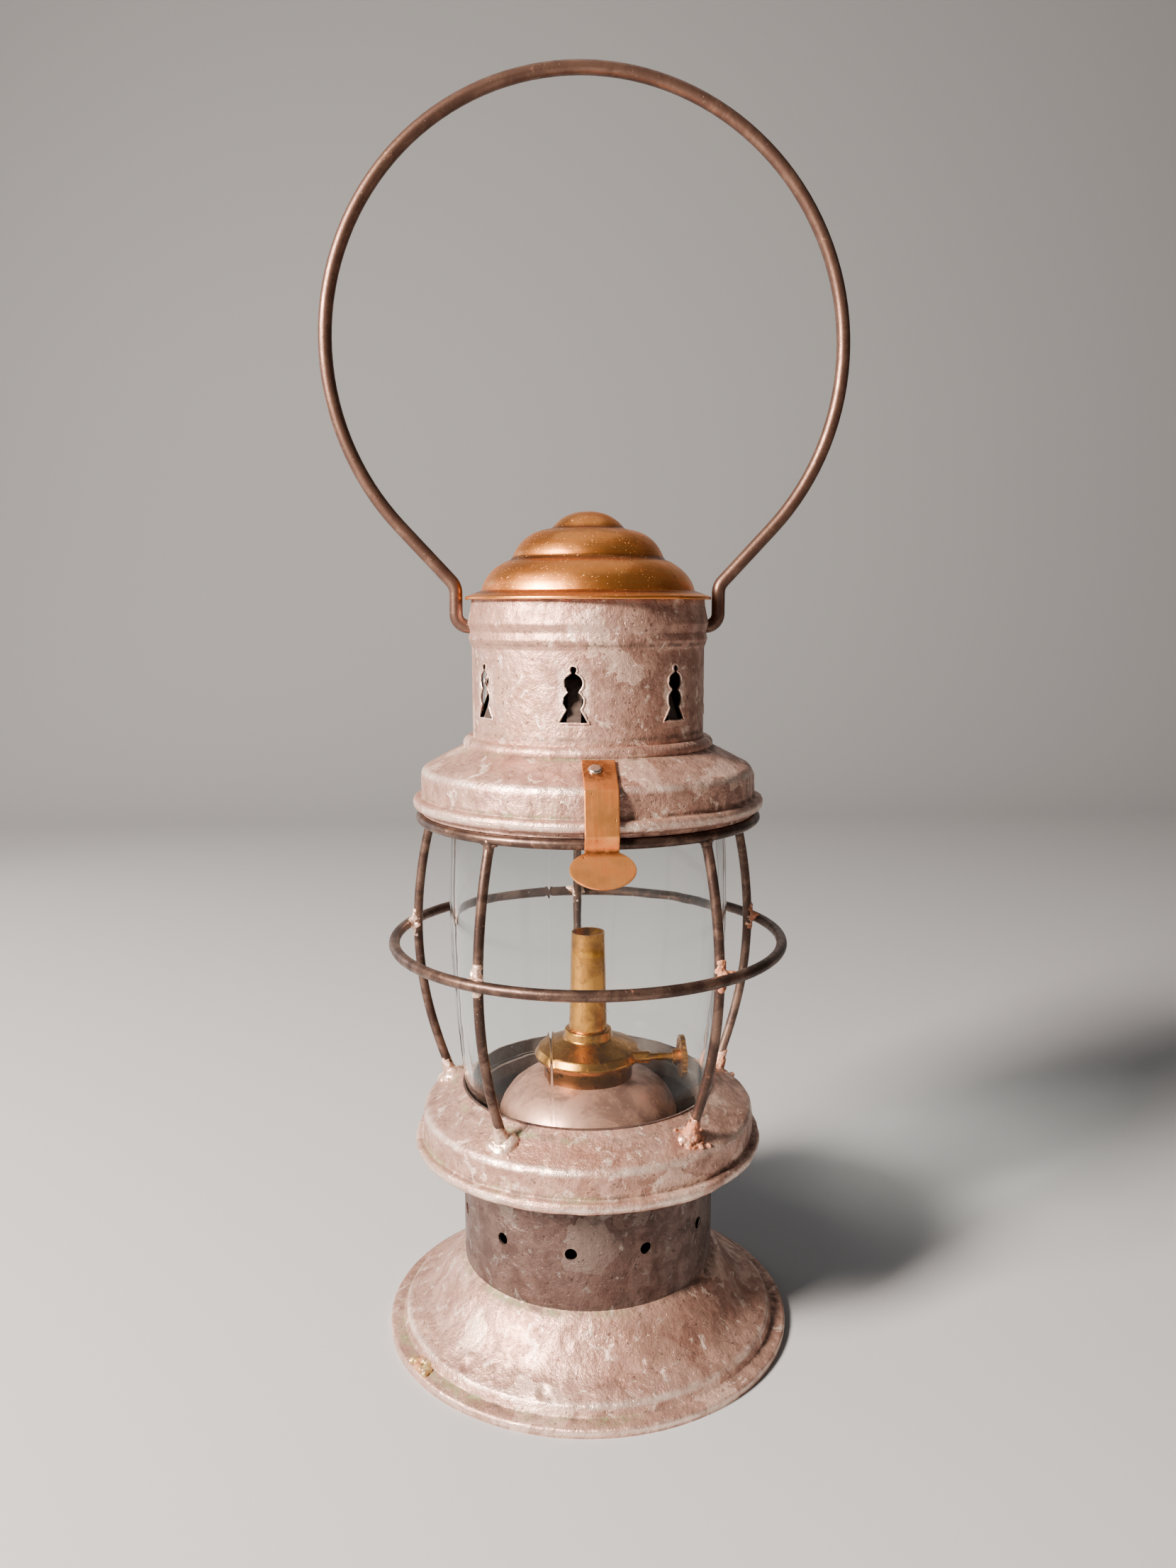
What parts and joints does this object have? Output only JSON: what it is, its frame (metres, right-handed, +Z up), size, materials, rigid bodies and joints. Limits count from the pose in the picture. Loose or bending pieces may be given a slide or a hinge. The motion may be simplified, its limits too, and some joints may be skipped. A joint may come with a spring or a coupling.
{
  "type": "ship lantern",
  "caption": "Round oil lantern with a flared foot, wire-guarded glass globe, rear-hinged vented hood with a spring latch, round-wick burner and a large looped wire bail.",
  "frame": {"origin": "centre of the foot's rim, on the surface it stands on", "axes": "+Z up along the lantern's axis, -Y towards the latch, +Y towards the hood's hinge, X along the bail's pivot line"},
  "size_m": [0.1708, 0.14, 0.4169],
  "materials": {
    "galvanised_steel": "weathered galvanised sheet with large spangle",
    "rusty_wire": "dark red-brown oxidised steel wire",
    "clear_glass": "clear pressed glass",
    "crown_brass": "aged amber brass, soft sheen",
    "latch_brass": "orange-gold brass strip",
    "bright_steel": "worn bright rivet",
    "bail_wire": "brown oxidised wire, handled smooth",
    "font_tin": "dark oily tin",
    "aged_brass": "golden brass darkened in corners",
    "cotton_wick": "woven cotton"
  },
  "bodies": {
    "base": {"base_skirt": "galvanised_steel", "collar_tube": "galvanised_steel", "lower_drum": "galvanised_steel", "drum_floor": "galvanised_steel", "globe_seat_ring": "galvanised_steel", "font_lock_ring": "galvanised_steel", "guard_top_hoop": "rusty_wire", "guard_top_band": "rusty_wire", "guard_mid_ring": "rusty_wire", "guard_wire_1": "rusty_wire", "guard_wire_2": "rusty_wire", "guard_wire_3": "rusty_wire", "guard_wire_4": "rusty_wire", "guard_wire_5": "rusty_wire", "globe": "clear_glass", "hinge_cage_leaf": "galvanised_steel", "hinge_pin": "rusty_wire"},
    "hood": {"hood_drum": "galvanised_steel", "hood_bead_ring": "galvanised_steel", "vent_cylinder": "galvanised_steel", "crown_cap": "crown_brass", "globe_retainer": "galvanised_steel", "chimney_cone": "galvanised_steel", "hinge_hood_leaf": "galvanised_steel", "latch_pad": "latch_brass", "latch_rivet": "bright_steel"},
    "latch": {"latch_spring": "latch_brass"},
    "bail": {"bail": "bail_wire"},
    "font": {"font_bowl": "font_tin", "font_dome": "font_tin", "font_collar": "aged_brass", "font_base_plate": "font_tin", "font_grip": "font_tin"},
    "burner": {"burner_base": "aged_brass", "burner_cone": "aged_brass", "wick_tube": "aged_brass", "shaft_bushing": "aged_brass", "shaft_bracket": "aged_brass"},
    "knob": {"wick_shaft": "aged_brass", "wick_knob": "aged_brass", "spur_wheel": "aged_brass"},
    "wick": {"wick": "cotton_wick"}
  },
  "joints": [
    {"name": "hood_hinge", "type": "hinge", "parent": "base", "child": "hood", "pos_m": [0, 0.061, 0.1825], "axis": [-1, 0, 0], "range_deg": [0, 120]},
    {"name": "latch_flex", "type": "hinge", "parent": "hood", "child": "latch", "pos_m": [0, -0.05689, 0.19627], "axis": [-1, 0, 0], "range_deg": [0, 8], "stiffness_Nm_per_rad": 0.4},
    {"name": "bail_swing", "type": "hinge", "parent": "hood", "child": "bail", "pos_m": [0, 0, 0.2428], "axis": [1, 0, 0], "range_deg": [-150, 150]},
    {"name": "font_twist", "type": "hinge", "parent": "base", "child": "font", "pos_m": [0, 0, 0.0202], "axis": [0, 0, 1], "range_deg": [0, 30]},
    {"name": "burner_turn", "type": "hinge", "parent": "font", "child": "burner", "pos_m": [0, 0, 0.09], "axis": [0, 0, 1], "continuous": true},
    {"name": "wick_knob_turn", "type": "hinge", "parent": "burner", "child": "knob", "pos_m": [0.02, -0.0078, 0.0965], "axis": [1, 0, 0], "range_deg": [-110, 150]},
    {"name": "wick_raise", "type": "slide", "parent": "burner", "child": "wick", "axis": [0, 0, 1], "range_m": [-0.0058, 0.0079]}
  ],
  "couplings": [
    {"joint": "wick_knob_turn", "follows": "wick_raise", "rad_per_m": 328}
  ]
}
